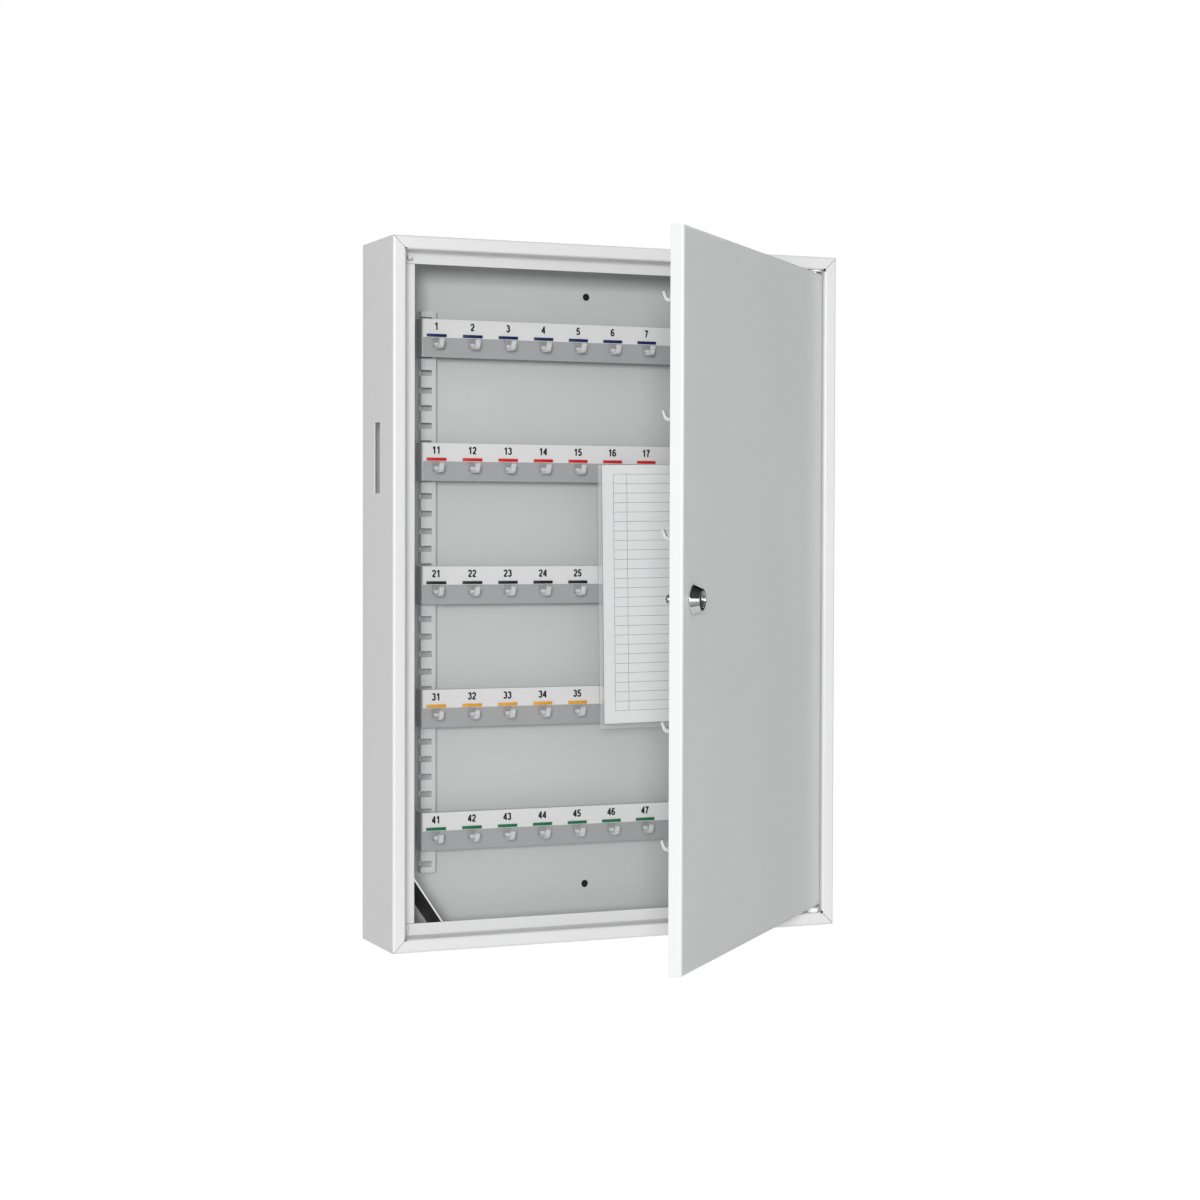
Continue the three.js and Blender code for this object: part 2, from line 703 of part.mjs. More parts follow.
function lockPlug() {
  const face = doorFront - gap - rosetteHeight + rosetteLip + gap;
  const end = housingEnd + gap;
  const keyway = box(
    [lockX - keywayWidth / 2, lockX + keywayWidth / 2],
    [face - 1, face + keywayDepth],
    [lockRise - keywayHeight / 2, lockRise + keywayHeight / 2]);
  return turnedY([[0, face], [plugRadius, face], [plugRadius, end], [0, end]], lockX, lockRise)
    .subtract(keyway)
    .subtract(screwBore(end - screwDepth - gap, end + 1));
}

function screwBore(from, to) {
  const radius = screwRadius + gap;
  return turnedY([[0, from], [radius, from], [radius, to], [0, to]], lockX, lockRise, 16);
}

// The cam: a flat blade with round ends that points up when the lock is open.
function lockCam() {
  const radius = camWidth / 2;
  const roundEnd = (z, start) => [...Array(11).keys()].map((step) => {
    const angle = start + Math.PI * step / 10;
    return [lockX + radius * Math.cos(angle), z + radius * Math.sin(angle)];
  });
  const outline = [...roundEnd(lockRise + camReach - radius, 0), ...roundEnd(lockRise, Math.PI)];
  return prismY(outline, [camSeat, camSeat + camThickness])
    .subtract(screwBore(camSeat - 1, camSeat + camThickness + 1));
}

function camScrew() {
  const seat = camSeat + camThickness + gap;
  const crown = seat + screwHeadHeight;
  const tip = housingEnd + gap - screwDepth;
  return turnedY([[0, tip], [screwRadius, tip], [screwRadius, seat], [screwHeadRadius, seat],
    [screwHeadRadius, seat + screwHeadHeight / 2], [screwHeadRadius * 0.6, crown], [0, crown]],
    lockX, lockRise);
}

function buildLock() {
  place('lock_rosette', lockRosette(), chrome, doorFrame);
  place('lock_housing', lockHousing(), chrome, doorFrame);
  place('lock_nut', lockNut(), steel, doorFrame);
  place('lock_plug', lockPlug(), chrome, doorFrame);
  place('lock_cam', lockCam(), steel, doorFrame);
  place('cam_screw', camScrew(), steel, doorFrame);
}

// ---------------------------------------------------------------- index card
// The hooks of one row reach through holes in the pocket's rear film, and their tips stand
// between that film and the card. Below the holes the rear film steps forwards, to pass in
// front of the hooks of the rows below. The pocket is drawn about its first hook.
const tipFront = hookFront - tipHeight * tipLean;
const cardBack = tipFront - pocketFilm - 2 * gap;
const cardFront = cardBack - cardThickness;
const headerBack = hookFront + tipThickness + gap + pocketFilm;
const cardHooks = [...Array(hooksPerRow).keys()]
  .map((i) => -halfStrip + hookEndInset + i * hookPitch)
  .filter((x) => x > cardLeft && x < cardLeft + cardWidth);
const pocketPivotX = cardHooks[0];
const pocketPivotZ = rowHeight(cardRow) + stripHeight / 2 + armTop + gap;

function hookHoles() {
  const holes = cardHooks.map((x) => box(
    [x - pocketPivotX - pocketHoleWidth / 2, x - pocketPivotX + pocketHoleWidth / 2],
    [headerBack - pocketFilm - gap, headerBack + gap],
    [-pocketHoleHeight, 0]));
  return holes.reduce((all, hole) => all.add(hole));
}

// The pocket's side view between its films, `wall` further out, and `floor` at the bottom.
function pocketOutline(wall, floor, ceiling) {
  const neck = -pocketHoleHeight - pocketBorder;
  const back = headerBack - pocketFilm + wall;
  const lowerBack = cardBack + gap + wall;
  return [
    [cardFront - gap - wall, floor],
    [lowerBack, floor],
    [lowerBack, neck - pocketNeck],
    [back, neck],
    [back, ceiling],
    [cardFront - gap - wall, ceiling],
  ];
}

function cardPocket() {
  const left = cardLeft - pocketPivotX - gap;
  const right = left + cardWidth + 2 * gap;
  const floor = pocketHeadroom - cardHeight - gap;
  return prismX(pocketOutline(pocketFilm, floor - pocketBorder, pocketHeadroom), [left - pocketBorder, right + pocketBorder])
    .subtract(prismX(pocketOutline(0, floor, pocketHeadroom + 1), [left, right]))
    .subtract(hookHoles());
}

function indexCard() {
  const left = cardLeft - pocketPivotX;
  return box([left, left + cardWidth], [cardFront, cardBack], [pocketHeadroom - cardHeight, pocketHeadroom]);
}

function buildCard() {
  const hanging = new THREE.Group();
  hanging.position.set(pocketPivotX, 0, pocketPivotZ);
  hanging.rotation.y = -THREE.MathUtils.degToRad(cardTiltDegrees);
  object.add(hanging);
  place('card_pocket', cardPocket(), clearPlastic, hanging);
  place('index_card', indexCard(), paper, hanging);
}

buildBody();
buildRows();
buildDoor();
buildLock();
buildCard();

export default object;
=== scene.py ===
"""Looks for the wall key cabinet: paint, plastic, paper and plated metal round the CAD frame.

Metres. The frame is the CAD's: +X right, +Y into the wall, +Z up. Pieces on the door are
built with the door closed, where its sheet is square to the axes, and then opened with it.
"""
import json
import math

import bmesh
import bpy
from mathutils import Matrix, Vector


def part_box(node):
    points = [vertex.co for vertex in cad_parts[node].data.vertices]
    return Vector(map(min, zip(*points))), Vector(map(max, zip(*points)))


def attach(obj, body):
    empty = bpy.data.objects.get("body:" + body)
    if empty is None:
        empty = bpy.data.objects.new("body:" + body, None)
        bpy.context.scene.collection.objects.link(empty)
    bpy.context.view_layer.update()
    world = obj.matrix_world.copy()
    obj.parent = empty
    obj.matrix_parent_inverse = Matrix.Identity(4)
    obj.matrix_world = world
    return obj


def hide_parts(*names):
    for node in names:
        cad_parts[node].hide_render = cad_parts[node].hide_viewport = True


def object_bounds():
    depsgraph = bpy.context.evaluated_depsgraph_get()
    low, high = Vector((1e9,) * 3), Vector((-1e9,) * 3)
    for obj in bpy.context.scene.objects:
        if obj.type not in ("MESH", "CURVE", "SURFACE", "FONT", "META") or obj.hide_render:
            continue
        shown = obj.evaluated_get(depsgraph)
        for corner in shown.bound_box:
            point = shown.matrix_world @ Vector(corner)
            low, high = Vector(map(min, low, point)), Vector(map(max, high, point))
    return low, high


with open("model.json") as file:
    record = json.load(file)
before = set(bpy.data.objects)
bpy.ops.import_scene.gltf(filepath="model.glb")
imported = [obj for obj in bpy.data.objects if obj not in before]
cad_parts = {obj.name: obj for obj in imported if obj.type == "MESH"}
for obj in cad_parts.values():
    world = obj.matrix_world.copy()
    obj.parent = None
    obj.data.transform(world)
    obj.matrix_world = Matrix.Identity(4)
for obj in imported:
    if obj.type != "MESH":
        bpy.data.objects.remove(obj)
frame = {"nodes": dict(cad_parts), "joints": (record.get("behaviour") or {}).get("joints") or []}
cad_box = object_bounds()
MM = 0.001

# ------------------------------------------------------------------ sizes (millimetres)
HOOKS = 10                  # hooks in a row
HOOK_PITCH = 30.2
HOOK_WIDTH = 4.0
STEM_FRONT = 1.7            # strip face to the front of a hook's stem
STEM_THICK = 1.3
ARM_THICK = 2.2
TIP_THICK = 2.1
HOOK_DROP = 24.0            # strip top to the underside of a hook
HEEL = 13.2                 # strip face to the front of the heel
TIP_RISE = 5.4
TIP_LEAN = math.radians(25)
HEEL_BEND = 2.4
STEM_RISE = 5.0             # solid part of a stem above the underside of the hook
HOOK_EDGE = 0.4             # soft edge of a hook
PLATE_WIDTH = 7.0           # clear plate between the stem and the bar
PLATE_DEPTHS = (0.45, 1.05)  # strip face to the plate's back and front
PLATE_FOOT = 1.2            # underside of the hook to the plate's lower end
PLATE_HEAD = 0.7            # plate's upper end to the bar
BAR_WIDTH = 16.5
BAR_HEIGHT = 2.4
BAR_DROP = 12.0             # strip top to the top of a coloured bar
BAR_THICK = 1.05
BAR_PROUD = 0.05            # front of the bar past the front of a stem
NUMBER_HEIGHT = 5.8
NUMBER_DROP = 8.8           # strip top to the foot of a number
DIGIT_STROKE = 0.22         # width of a stroke, as a share of a digit's height
DIGIT_STEP = 0.62           # one digit to the next, as the same share
DIGIT_GAP = 0.06            # gap between two digits, as the same share
LABEL_PROUD = 0.05          # ink above the label, so that it never fights the paper
FIRST_DOOR_NUMBER = 51

RULE_WIDTH = 0.3
RULE_MARGIN = 9.8           # card edge to the table's outer line
RULE_TOP = 7.5
RULE_ROWS = 25
RULE_PITCH = 7.69
RULE_COLUMN = 11.8          # width of the table's first column

FILM_BORDER = 4.5           # welded edge of the card's pocket
FILM_THICK = 0.2
FILM_SEAM = 0.35            # width of a weld line
FILM_LEAD = 0.5             # card face to the front of the front film
FILM_CLEARANCE = 0.3        # back of the card to the rear film
FILM_LAP = 0.3              # rear film past the card's lower edge, into the border
WELD_LIFT = (0.05, 0.01)    # weld line's front and back, before the front film
FILM_HOLE_WIDTH = 8.0
FILM_HOLE_TOP = 5.4         # card top to the top of the holes in the rear film
FILM_HOLE_BOTTOM = 17.4
FILM_NECK = (21.9, 35.9)    # card top to the start and the end of the rear film's step
FILM_HOLES = 5
FIRST_HOLE = 15.6           # card edge to the middle of the first hole

NOSE_RADIUS = 7.7           # front of the lock's rosette
BORE_RADIUS = 6.2
ROSETTE_RIM = 0.7           # straight height of the rosette's outer edge
ROSETTE_EDGE = 0.5
PLUG_EDGE = 0.25
KEYWAY_HALF = (0.8, 2.8)    # half its width and half its height
KEYWAY_DEPTH = 4.0
SCREW_SEAT = 0.3            # cam to the underside of the screw's head
SCREW_RIM = 0.55            # straight share of the head's height
SCREW_EDGE = 1.2
RECESS_ARM = (2.6, 0.4)     # half the length and half the width of the cross recess
RECESS_DEPTHS = (0.8, 0.1)  # crown of the screw to the recess's floor and top
PIN_EDGE = 0.4
BUFFER_EDGE = 0.6
WASHER_EDGE = 0.2
WASHER_BORE = 2.3
CAD_EDGE = 0.18             # soft edge of a folded sheet
CAD_EDGE_ANGLE = math.radians(40)       # sharper corners than this are softened
SMOOTH_ANGLE = math.radians(35)         # shallower ones look round
FIXING_HEIGHT = 241.5       # middle of the cabinet to a wall-fixing hole
DISC_RADIUS = 3.6           # disc of painted shade behind a fixing hole
DISC_DEPTHS = (0.6, 0.4)    # wall face to the disc's front, and the disc's thickness
FLOOR_DROP = 620            # cabinet to the floor
FLOOR_REACH = 800           # half the floor's width
FLOOR_SHIFT = -200          # middle of the floor before the wall

# Linear red, green and blue, like every colour here.
BAR_COLOURS = [
    (0.002, 0.015, 0.095),
    (0.600, 0.008, 0.006),
    (0.012, 0.010, 0.012),
    (0.760, 0.345, 0.015),
    (0.006, 0.150, 0.060),
]

# ------------------------------------------------------------------ light, camera (metres)
AMBIENT = 0.56              # strength of the soft room
AMBIENT_TILT = 0.09         # how much stronger it is towards its bright side
AMBIENT_SIDE = (0.2, -0.95, 0.1)
SHINE_BASE, SHINE_TILT = 0.55, 0.9      # the same for what reflections show
SHINE_LEAST = 0.04
SHINE_SIDE = (-0.25, -1, 0)
# Height in the room, from 0 straight down to 1 straight up, and how bright it reflects there.
SHINE_BAND = [(0.0, 0.12), (0.37, 0.36), (0.42, 1.0), (0.54, 1.0), (0.58, 0.04), (1.0, 0.04)]
KEY = dict(place=(-1.76, -3.86, 0.45), target=(0, -0.05, 0), size=0.8, power=102)
SIDE = dict(place=(-4.60, 0.30, 0.25), target=(0, -0.10, 0), size=1.6, power=31)
CAMERA_PLACE = (-0.75858, -1.88307, 0.05196)
CAMERA_TURN = (23.629, 1.326, -0.189)   # degrees to the right, downwards and of roll
LENS = 73.90
SENSOR = 36.0
SHIFT = (-0.0480, -0.0122)

# ------------------------------------------------------------------ places from the frame
joints = {joint["name"]: joint for joint in frame["joints"]}
hinge = Vector(joints["door_hinge"]["pos_m"])
open_angle = -math.radians(joints["door_hinge"]["range_deg"][0])
OPEN = (Matrix.Translation(hinge) @ Matrix.Rotation(open_angle, 4, "Z")
        @ Matrix.Translation(-hinge))
AT_REST = Matrix.Identity(4)


def closed_box(node):
    """Lowest and highest corner of a door node with the door closed."""
    shut = OPEN.inverted()
    points = [shut @ v.co for v in frame["nodes"][node].data.vertices]
    low = Vector(min(p[i] for p in points) for i in range(3))
    high = Vector(max(p[i] for p in points) for i in range(3))
    return low, high


# ------------------------------------------------------------------ node materials
def new_material(name):
    material = bpy.data.materials.new(name)
    material.use_nodes = True
    nodes = material.node_tree.nodes
    return material, nodes, material.node_tree.links, nodes["Principled BSDF"]


def add(nodes, kind, **values):
    """One shader node, with its properties or its input values set by name."""
    node = nodes.new(kind)
    for key, value in values.items():
        if key in node.inputs:
            node.inputs[key].default_value = value
        else:
            setattr(node, key, value)
    return node


def noise(nodes, links, scale, detail=4.0):
    """Noise in the object's own metres; the scale is its cells to a metre."""
    place = nodes.new("ShaderNodeTexCoord")
    texture = add(nodes, "ShaderNodeTexNoise", Scale=scale, Detail=detail)
    links.new(place.outputs["Object"], texture.inputs["Vector"])
    return texture.outputs["Fac"]


def ramp(nodes, links, source, low, high, start=0.3, end=0.7):
    """A colour ramp from low to high over part of the source's range."""
    node = nodes.new("ShaderNodeValToRGB")
    for element, place, value in zip(node.color_ramp.elements, (start, end), (low, high)):
        element.position = place
        element.color = value if len(value) == 4 else (*value, 1)
    links.new(source, node.inputs["Fac"])
    return node.outputs["Color"]


def grey(value):
    return (value, value, value, 1)


def tint(colour, share):
    return tuple(channel * share for channel in colour)


def bump(nodes, links, shader, source, strength, distance):
    node = add(nodes, "ShaderNodeBump", Strength=strength, Distance=distance)
    links.new(source, node.inputs["Height"])
    links.new(node.outputs["Normal"], shader.inputs["Normal"])


def powder_coat(name, colour, rough=0.48, coat=0.2):
    """Baked paint: a fine orange peel, and a slow drift of tone and gloss."""
    material, nodes, links, shader = new_material(name)
    shader.inputs["Coat Weight"].default_value = coat
    shader.inputs["Coat Roughness"].default_value = 0.2
    drift = noise(nodes, links, 9.0, 3.0)
    links.new(ramp(nodes, links, drift, tint(colour, 0.975), colour), shader.inputs["Base Color"])
    gloss = noise(nodes, links, 160.0, 2.0)
    links.new(ramp(nodes, links, gloss, grey(rough - 0.04), grey(rough + 0.05)),
              shader.inputs["Roughness"])
    bump(nodes, links, shader, noise(nodes, links, 900.0, 2.0), 0.18, 0.00012)
    return material


def coat_with_painted_underside_shade(name, colour, dark):
    """Powder coat with a painted shade: dark on faces that look downwards, standing in for the
    shade that falls under them.
    """
    material = powder_coat(name, colour)
    nodes, links = material.node_tree.nodes, material.node_tree.links
    shader = nodes["Principled BSDF"]
    place = nodes.new("ShaderNodeTexCoord")
    split = nodes.new("ShaderNodeSeparateXYZ")
    links.new(place.outputs["Normal"], split.inputs["Vector"])
    height = add(nodes, "ShaderNodeMath", operation="MULTIPLY_ADD")
    height.inputs[1].default_value = 0.5
    height.inputs[2].default_value = 0.5
    links.new(split.outputs["Z"], height.inputs[0])
    # Painted shade: the colour turns to `dark` as the face turns downwards.
    links.new(ramp(nodes, links, height.outputs[0], dark, colour, 0.28, 0.42),
              shader.inputs["Base Color"])
    return material


def plated_metal(name, colour, rough, smear):
    """Bright plating with faint smears in its gloss."""
    material, nodes, links, shader = new_material(name)
    shader.inputs["Metallic"].default_value = 1.0
    cloud = noise(nodes, links, 420.0)
    links.new(ramp(nodes, links, cloud, tint(colour, 0.93), colour), shader.inputs["Base Color"])
    links.new(ramp(nodes, links, noise(nodes, links, 240.0), grey(rough), grey(rough + smear)),
              shader.inputs["Roughness"])
    bump(nodes, links, shader, noise(nodes, links, 2600.0, 2.0), 0.06, 0.00003)
    return material


def paper_stock(name, colour):
    """Matt paper with a fine fibre."""
    material, nodes, links, shader = new_material(name)
    shader.inputs["Roughness"].default_value = 0.82
    shader.inputs["Specular IOR Level"].default_value = 0.25
    fibre = noise(nodes, links, 1500.0, 6.0)
    links.new(ramp(nodes, links, fibre, tint(colour, 0.975), colour), shader.inputs["Base Color"])
    bump(nodes, links, shader, fibre, 0.12, 0.00003)
    return material


def moulded_plastic(name, colour, rough, clear=0.0, alpha=1.0):
    """Moulded plastic. `clear` is the share of light that it lets through."""
    material, nodes, links, shader = new_material(name)
    shader.inputs["IOR"].default_value = 1.49
    shader.inputs["Transmission Weight"].default_value = clear
    shader.inputs["Alpha"].default_value = alpha
    cloud = noise(nodes, links, 300.0, 3.0)
    links.new(ramp(nodes, links, cloud, tint(colour, 0.955), colour), shader.inputs["Base Color"])
    links.new(ramp(nodes, links, noise(nodes, links, 700.0), grey(rough), grey(rough + 0.08)),
              shader.inputs["Roughness"])
    bump(nodes, links, shader, noise(nodes, links, 1800.0, 2.0), 0.08, 0.00004)
    return material


def printed_ink(name, colour):
    """Ink that lets a little of the paper's tone through."""
    material, nodes, links, shader = new_material(name)
    shader.inputs["Roughness"].default_value = 0.6
    worn = noise(nodes, links, 2600.0, 3.0)
    lighter = tuple(min(1.0, channel * 1.25 + 0.004) for channel in colour)
    links.new(ramp(nodes, links, worn, colour, lighter), shader.inputs["Base Color"])
    return material


BODY_PAINT = powder_coat("body_paint", (0.72, 0.725, 0.72))
# The chute's paint, with a painted shade that is near black on its downward faces.
CHUTE_PAINT_AND_SHADE = coat_with_painted_underside_shade("chute_paint_and_shade", (0.72, 0.725, 0.72), (0.07, 0.07, 0.07))
PANEL_PAINT = powder_coat("panel_paint", (0.57, 0.575, 0.575))
DOOR_PAINT = powder_coat("door_paint", (0.72, 0.725, 0.725))
RAIL_PAINT = powder_coat("rail_paint", (0.60, 0.605, 0.61), 0.42, 0.35)
STRIP_PAINT = powder_coat("strip_paint", (0.36, 0.365, 0.37), 0.42, 0.4)
PAPER = paper_stock("label_paper", (0.70, 0.70, 0.705))
CARD = paper_stock("card_paper", (0.82, 0.82, 0.825))
FILM = moulded_plastic("clear_film", (0.93, 0.94, 0.945), 0.08, alpha=0.14)
FILM_WELD = moulded_plastic("film_weld", (0.34, 0.35, 0.36), 0.25, alpha=0.55)
HOOK_PLASTIC = moulded_plastic("hook_plastic", (0.74, 0.745, 0.75), 0.24, clear=0.18)
PLATE_PLASTIC = moulded_plastic("hook_plate", (0.46, 0.46, 0.47), 0.2, alpha=0.3)
WHITE_PLASTIC = moulded_plastic("white_plastic", (0.86, 0.86, 0.85), 0.4)
BUFFER = moulded_plastic("buffer_rubber", (0.82, 0.82, 0.81), 0.5, clear=0.2)
CHROME = plated_metal("chrome", (0.86, 0.865, 0.87), 0.05, 0.04)
ZINC = plated_metal("zinc", (0.60, 0.61, 0.62), 0.28, 0.12)
# Painted shade: a near-black plastic that stands in for the shade inside the keyway and the
# screw's cross recess.
SLOT_SHADE = moulded_plastic("slot_painted_shade", (0.02, 0.02, 0.022), 0.5)
INK = printed_ink("ink", (0.005, 0.005, 0.006))
RULE_INK = printed_ink("rule_ink", (0.075, 0.075, 0.08))
BARS = [moulded_plastic(f"bar_{i + 1}", colour, 0.32) for i, colour in enumerate(BAR_COLOURS)]


# ------------------------------------------------------------------ mesh building
def finish_mesh(mesh, name, material, body, place=AT_REST):
    """A bmesh as a finished piece: placed, smooth where it is round, riding on its body."""
    bmesh.ops.remove_doubles(mesh, verts=mesh.verts, dist=1e-7)
    bmesh.ops.recalc_face_normals(mesh, faces=mesh.faces)
    mesh.transform(place)
    for face in mesh.faces:
        face.smooth = True
    for edge in mesh.edges:
        edge.smooth = len(edge.link_faces) == 2 and edge.calc_face_angle(0) < SMOOTH_ANGLE
    data = bpy.data.meshes.new(name)
    mesh.to_mesh(data)
    mesh.free()
    data.materials.append(material)
    piece = bpy.data.objects.new(name, data)
    bpy.context.scene.collection.objects.link(piece)
    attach(piece, body)
    return piece


def prism(mesh, outline, axis, start, end, bevel=0.0, segments=2):
    """An outline extruded along an axis; the outline is in the other two axes, in order."""
    def at(point, along):
        place = list(point)
        place.insert("XYZ".index(axis), along)
        return Vector(place)
    near = [mesh.verts.new(at(p, start)) for p in outline]
    far = [mesh.verts.new(at(p, end)) for p in outline]
    faces = [mesh.faces.new(near), mesh.faces.new(far[::-1])]
    for i in range(len(outline)):
        j = (i + 1) % len(outline)
        faces.append(mesh.faces.new((near[i], far[i], far[j], near[j])))
    if bevel:
        rim = {edge for face in faces[:2] for edge in face.edges}
        bmesh.ops.bevel(mesh, geom=list(rim), offset=bevel, segments=segments,
                        profile=0.5, affect="EDGES", clamp_overlap=True)


def block(mesh, low, high, bevel=0.0):
    """A box with soft edges."""
    made = bmesh.ops.create_cube(mesh, size=1.0)["verts"]
    size, middle = Vector(high) - Vector(low), (Vector(high) + Vector(low)) / 2
    for vert in made:
        vert.co = Vector(c * s for c, s in zip(vert.co, size)) + middle
    if bevel:
        rim = {edge for vert in made for edge in vert.link_edges}
        bmesh.ops.bevel(mesh, geom=list(rim), offset=bevel, segments=2, profile=0.5,
                        affect="EDGES", clamp_overlap=True)


def arc(centre, radius, start, end, steps):
    return [(centre[0] + radius * math.cos(start + (end - start) * i / steps),
             centre[1] + radius * math.sin(start + (end - start) * i / steps))
            for i in range(steps + 1)]


def ribbon(path, thicknesses, bend, steps=6):
    """The outline of a bar that follows a path with round bends, each leg of its own
    thickness, changing over the bends."""
    points = [Vector(p) for p in path]
    left, right = [], []

    def put(point, direction, thickness):
        side = Vector((-direction.y, direction.x)) * thickness / 2
        left.append(tuple(point + side))
        right.append(tuple(point - side))

    legs = [(b - a).normalized() for a, b in zip(points, points[1:])]
    put(points[0], legs[0], thicknesses[0])
    for i in range(1, len(points) - 1):
        into, out = legs[i - 1], legs[i]
        turn = math.atan2(into.x * out.y - into.y * out.x, into.dot(out))
        reach = bend * math.tan(abs(turn) / 2)
        start = points[i] - into * reach
        centre = start + Vector((-into.y, into.x)) * math.copysign(bend, turn)
        for step in range(steps + 1):
            share = step / steps
            spin = Matrix.Rotation(turn * share, 2)
            thickness = thicknesses[i - 1] * (1 - share) + thicknesses[i] * share
            put(centre + spin @ (start - centre), spin @ into, thickness)
    put(points[-1], legs[-1], thicknesses[-1])
    return left + right[::-1]


def lathe(mesh, profile, centre, direction, sides=64):
    """A profile of (radius, along) pairs turned about an axis."""
    spin = Vector((0, 0, 1)).rotation_difference(Vector(direction)).to_matrix()
    rings = []
    for radius, along in profile:
        if radius < 1e-7:
            rings.append([mesh.verts.new(Vector(centre) + spin @ Vector((0, 0, along)))])
            continue
        ring = []
        for i in range(sides):
            angle = 2 * math.pi * i / sides
            local = Vector((radius * math.cos(angle), radius * math.sin(angle), along))
            ring.append(mesh.verts.new(Vector(centre) + spin @ local))
        rings.append(ring)
    for a, b in zip(rings, rings[1:]):
        for i in range(sides):
            j = (i + 1) % sides
            corners = [a[i % len(a)], a[j % len(a)], b[j % len(b)], b[i % len(b)]]
            unique = list(dict.fromkeys(corners))
            if len(unique) > 2:
                mesh.faces.new(unique)


def rounded(profile, radius, steps=4):
    """A (radius, along) profile with its inner corners rounded."""
    points = [Vector(p) for p in profile]
    result = [tuple(points[0])]
    for before, corner, after in zip(points, points[1:], points[2:]):
        a, b = (before - corner), (after - corner)
        reach = min(radius, a.length / 2.01, b.length / 2.01)
        start, end = corner + a.normalized() * reach, corner + b.normalized() * reach
        for i in range(steps + 1):
            t = i / steps
            result.append(tuple(start.lerp(corner, t).lerp(corner.lerp(end, t), t)))
    return result + [tuple(points[-1])]


# ------------------------------------------------------------------ CAD nodes that stay
def dress(node, material, width=CAD_EDGE * MM):
    """Gives a CAD node its finish, soft edges and smooth bends, without touching its mesh."""
    piece = frame["nodes"][node]
    data = piece.data
    data.materials.clear()
    data.materials.append(material)
    weld = piece.modifiers.new("weld", "WELD")
    weld.merge_threshold = 1e-6
    if width:
        soft = piece.modifiers.new("soft", "BEVEL")
        soft.width = width
        soft.segments = 2
        soft.limit_method = "ANGLE"
        soft.angle_limit = CAD_EDGE_ANGLE
        soft.harden_normals = False
    for name in ("custom_normal", "sharp_face", "sharp_edge"):
        if name in data.attributes:
            data.attributes.remove(data.attributes[name])
    data.polygons.foreach_set("use_smooth", [True] * len(data.polygons))
    normals = piece.modifiers.new("normals", "WEIGHTED_NORMAL")
    normals.keep_sharp = True
    normals.weight = 80


def dress_cad():
    rows = range(1, len(BARS) + 1)
    for node in ("left_side", "right_side", "top_side", "bottom_side"):
        dress(node, BODY_PAINT)
    # The chute's downward faces carry a painted shade.
    dress("drop_chute", CHUTE_PAINT_AND_SHADE)
    dress("back_panel", PANEL_PAINT)
    dress("door_pan", DOOR_PAINT)
    for node in ("left_rail", "right_rail"):
        dress(node, RAIL_PAINT)
    for row in rows:
        for prefix, strip in (("", "key_strip"), ("door_", "door_strip")):
            dress(f"{strip}_{row}", STRIP_PAINT)
            dress(f"{prefix}label_{row}", PAPER, 0)
    dress("index_card", CARD, 0)
    for node in ("upper_hinge_block", "lower_hinge_block", "lock_nut", "lock_housing", "lock_cam"):
        dress(node, ZINC)


# ------------------------------------------------------------------ key hooks
def hook_outline(out, face, top):
    """Side view of one hook, as (depth, height) in metres."""
    stem = STEM_FRONT - STEM_THICK / 2
    low = HOOK_DROP - ARM_THICK / 2
    heel = HEEL - TIP_THICK / 2
    lean = TIP_RISE * math.tan(TIP_LEAN)
    path = [(stem, STEM_RISE - HOOK_DROP), (stem, -low), (heel, -low),
            (heel + lean, -HOOK_DROP + ARM_THICK + TIP_RISE)]
    outline = ribbon(path, (STEM_THICK, ARM_THICK, TIP_THICK), HEEL_BEND)
    return [(face + out * d * MM, top + z * MM) for d, z in outline]


def columns():
    """Middles of the hooks along a row, in metres."""
    return [(i - (HOOKS - 1) / 2) * HOOK_PITCH * MM for i in range(HOOKS)]


def hook_row(name, node, face, top, out, body, place):
    mesh = bmesh.new()
    outline = hook_outline(out, face, top)
    for x in columns():
        half = HOOK_WIDTH / 2 * MM
        prism(mesh, outline, "X", x - half, x + half, HOOK_EDGE * MM, 3)
    piece = finish_mesh(mesh, name, HOOK_PLASTIC, body, place)
    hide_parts(node)


def plate_row(name, face, top, out, body, place):
    """The clear plates that carry the hooks below their bars."""
    mesh = bmesh.new()
    depths = sorted(face + out * depth * MM for depth in PLATE_DEPTHS)
    foot = top - (HOOK_DROP - PLATE_FOOT) * MM
    head = top - (BAR_DROP + BAR_HEIGHT + PLATE_HEAD) * MM
    for x in columns():
        block(mesh, (x - PLATE_WIDTH / 2 * MM, depths[0], foot),
              (x + PLATE_WIDTH / 2 * MM, depths[1], head), 0.0002)
    finish_mesh(mesh, name, PLATE_PLASTIC, body, place)


def bar_row(name, material, face, top, out, body, place):
    mesh = bmesh.new()
    nearest = STEM_FRONT + BAR_PROUD
    depths = sorted(face + out * depth * MM for depth in (nearest - BAR_THICK, nearest))
    for x in columns():
        low = (x - BAR_WIDTH / 2 * MM, depths[0], top - (BAR_DROP + BAR_HEIGHT) * MM)
        high = (x + BAR_WIDTH / 2 * MM, depths[1], top - BAR_DROP * MM)
        block(mesh, low, high, 0.00025)
    finish_mesh(mesh, name, material, body, place)


def bow(x, z, across, tall, start, end, steps=18):
    """Part of an oval; the angles are in degrees, counted from the right and upwards."""
    return [(x + across * math.cos(math.radians(start + (end - start) * i / steps)),
             z + tall * math.sin(math.radians(start + (end - start) * i / steps)))
            for i in range(steps + 1)]


def turned(strokes):
    """The same strokes upside down, in a digit's box."""
    return [([(0.56 - x, 1 - z) for x, z in points], closed) for points, closed in strokes]


